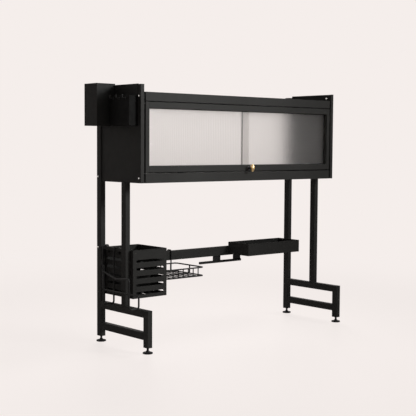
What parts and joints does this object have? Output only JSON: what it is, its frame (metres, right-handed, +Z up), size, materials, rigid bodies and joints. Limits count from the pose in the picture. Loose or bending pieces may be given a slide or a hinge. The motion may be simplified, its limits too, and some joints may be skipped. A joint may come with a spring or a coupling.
{
  "type": "over-sink dish rack",
  "caption": "Over-sink dish rack: tube side frames carry a cabinet with a flip-up frosted door; hang-on cutlery box, plate basket, tray, board holder, utensil box and knife holder.",
  "frame": {"origin": "centre of the whole part's footprint, on the worktop that the feet stand on", "axes": "+X along the rack from the side with the utensil box to the other, +Y from the front legs to the rear posts, +Z up"},
  "size_m": [1.0284, 0.305, 0.8985],
  "materials": {
    "frame_black": "matt black powder coat",
    "cabinet_black": "matt black powder coat",
    "door_black": "matt black powder coat",
    "caddy_black": "matt black powder coat",
    "wire_black": "satin black coating",
    "black_plastic": "moulded, matt",
    "foot_rubber": "matt",
    "foot_steel": "black oxide",
    "zinc_screws": "bright zinc",
    "frosted_pane": "frosted, fine vertical flutes",
    "brass": "satin"
  },
  "bodies": {
    "frame": {"left_rear_post": "frame_black", "left_mid_post": "frame_black", "left_front_leg": "frame_black", "left_upper_bar": "frame_black", "left_lower_bar": "frame_black", "right_rear_post": "frame_black", "right_mid_post": "frame_black", "right_front_leg": "frame_black", "right_upper_bar": "frame_black", "right_lower_bar": "frame_black", "hanging_rail": "frame_black", "back_bottom_rail": "frame_black", "back_top_rail": "frame_black", "left_side_rail": "frame_black", "post_caps": "black_plastic", "leg_caps": "black_plastic", "foot_inserts": "black_plastic", "left_side_panel": "cabinet_black", "right_side_panel": "cabinet_black", "top_shelf": "cabinet_black", "bottom_shelf": "cabinet_black", "top_front_rail": "cabinet_black", "bottom_front_rail": "cabinet_black", "left_screws": "zinc_screws", "right_screws": "zinc_screws", "hinge_brackets": "cabinet_black", "magnet_catches": "black_plastic", "towel_bar": "wire_black", "towel_bar_tabs": "wire_black"},
    "door": {"door_bottom_rail": "door_black", "door_top_rail": "door_black", "left_door_stile": "door_black", "right_door_stile": "door_black", "hinge_pins": "zinc_screws", "left_pane": "frosted_pane", "right_pane": "frosted_pane", "seam_strip": "door_black", "pane_clips": "door_black", "knob": "brass", "knob_screw": "zinc_screws", "strike_plates": "zinc_screws"},
    "left_front_foot": {"left_front_foot_pad": "foot_rubber", "left_front_foot_screw": "foot_steel"},
    "left_rear_foot": {"left_rear_foot_pad": "foot_rubber", "left_rear_foot_screw": "foot_steel"},
    "right_front_foot": {"right_front_foot_pad": "foot_rubber", "right_front_foot_screw": "foot_steel"},
    "right_rear_foot": {"right_rear_foot_pad": "foot_rubber", "right_rear_foot_screw": "foot_steel"},
    "tray": {"storage_tray": "caddy_black"},
    "basket": {"dish_basket": "wire_black"},
    "cutlery": {"cutlery_box": "caddy_black", "cutlery_divider": "caddy_black"},
    "board_holder": {"cutting_board_holder": "wire_black"},
    "side_caddy": {"caddy_plate": "caddy_black", "utensil_box": "caddy_black", "knife_holder": "caddy_black", "utensil_hooks": "wire_black"}
  },
  "joints": [
    {"name": "door_hinge", "type": "hinge", "parent": "frame", "child": "door", "pos_m": [0.03225, -0.096, 0.8295], "axis": [-1, 0, 0], "range_deg": [0, 100]},
    {"name": "left_front_foot_screw", "type": "slide", "parent": "frame", "child": "left_front_foot", "axis": [0, 0, -1], "range_m": [-0.008, 0.015]},
    {"name": "left_rear_foot_screw", "type": "slide", "parent": "frame", "child": "left_rear_foot", "axis": [0, 0, -1], "range_m": [-0.008, 0.015]},
    {"name": "right_front_foot_screw", "type": "slide", "parent": "frame", "child": "right_front_foot", "axis": [0, 0, -1], "range_m": [-0.008, 0.015]},
    {"name": "right_rear_foot_screw", "type": "slide", "parent": "frame", "child": "right_rear_foot", "axis": [0, 0, -1], "range_m": [-0.008, 0.015]},
    {"name": "tray_slide", "type": "slide", "parent": "frame", "child": "tray", "axis": [1, 0, 0], "range_m": [-0.24, 0.045]},
    {"name": "basket_lift", "type": "slide", "parent": "frame", "child": "basket", "axis": [0, 0, 1], "range_m": [0, 0.04]},
    {"name": "cutlery_lift", "type": "slide", "parent": "frame", "child": "cutlery", "axis": [0, 0, 1], "range_m": [0, 0.04]},
    {"name": "board_holder_lift", "type": "slide", "parent": "frame", "child": "board_holder", "axis": [0, 0, 1], "range_m": [0, 0.04]},
    {"name": "side_caddy_lift", "type": "slide", "parent": "frame", "child": "side_caddy", "axis": [0, 0, 1], "range_m": [0, 0.04]}
  ]
}
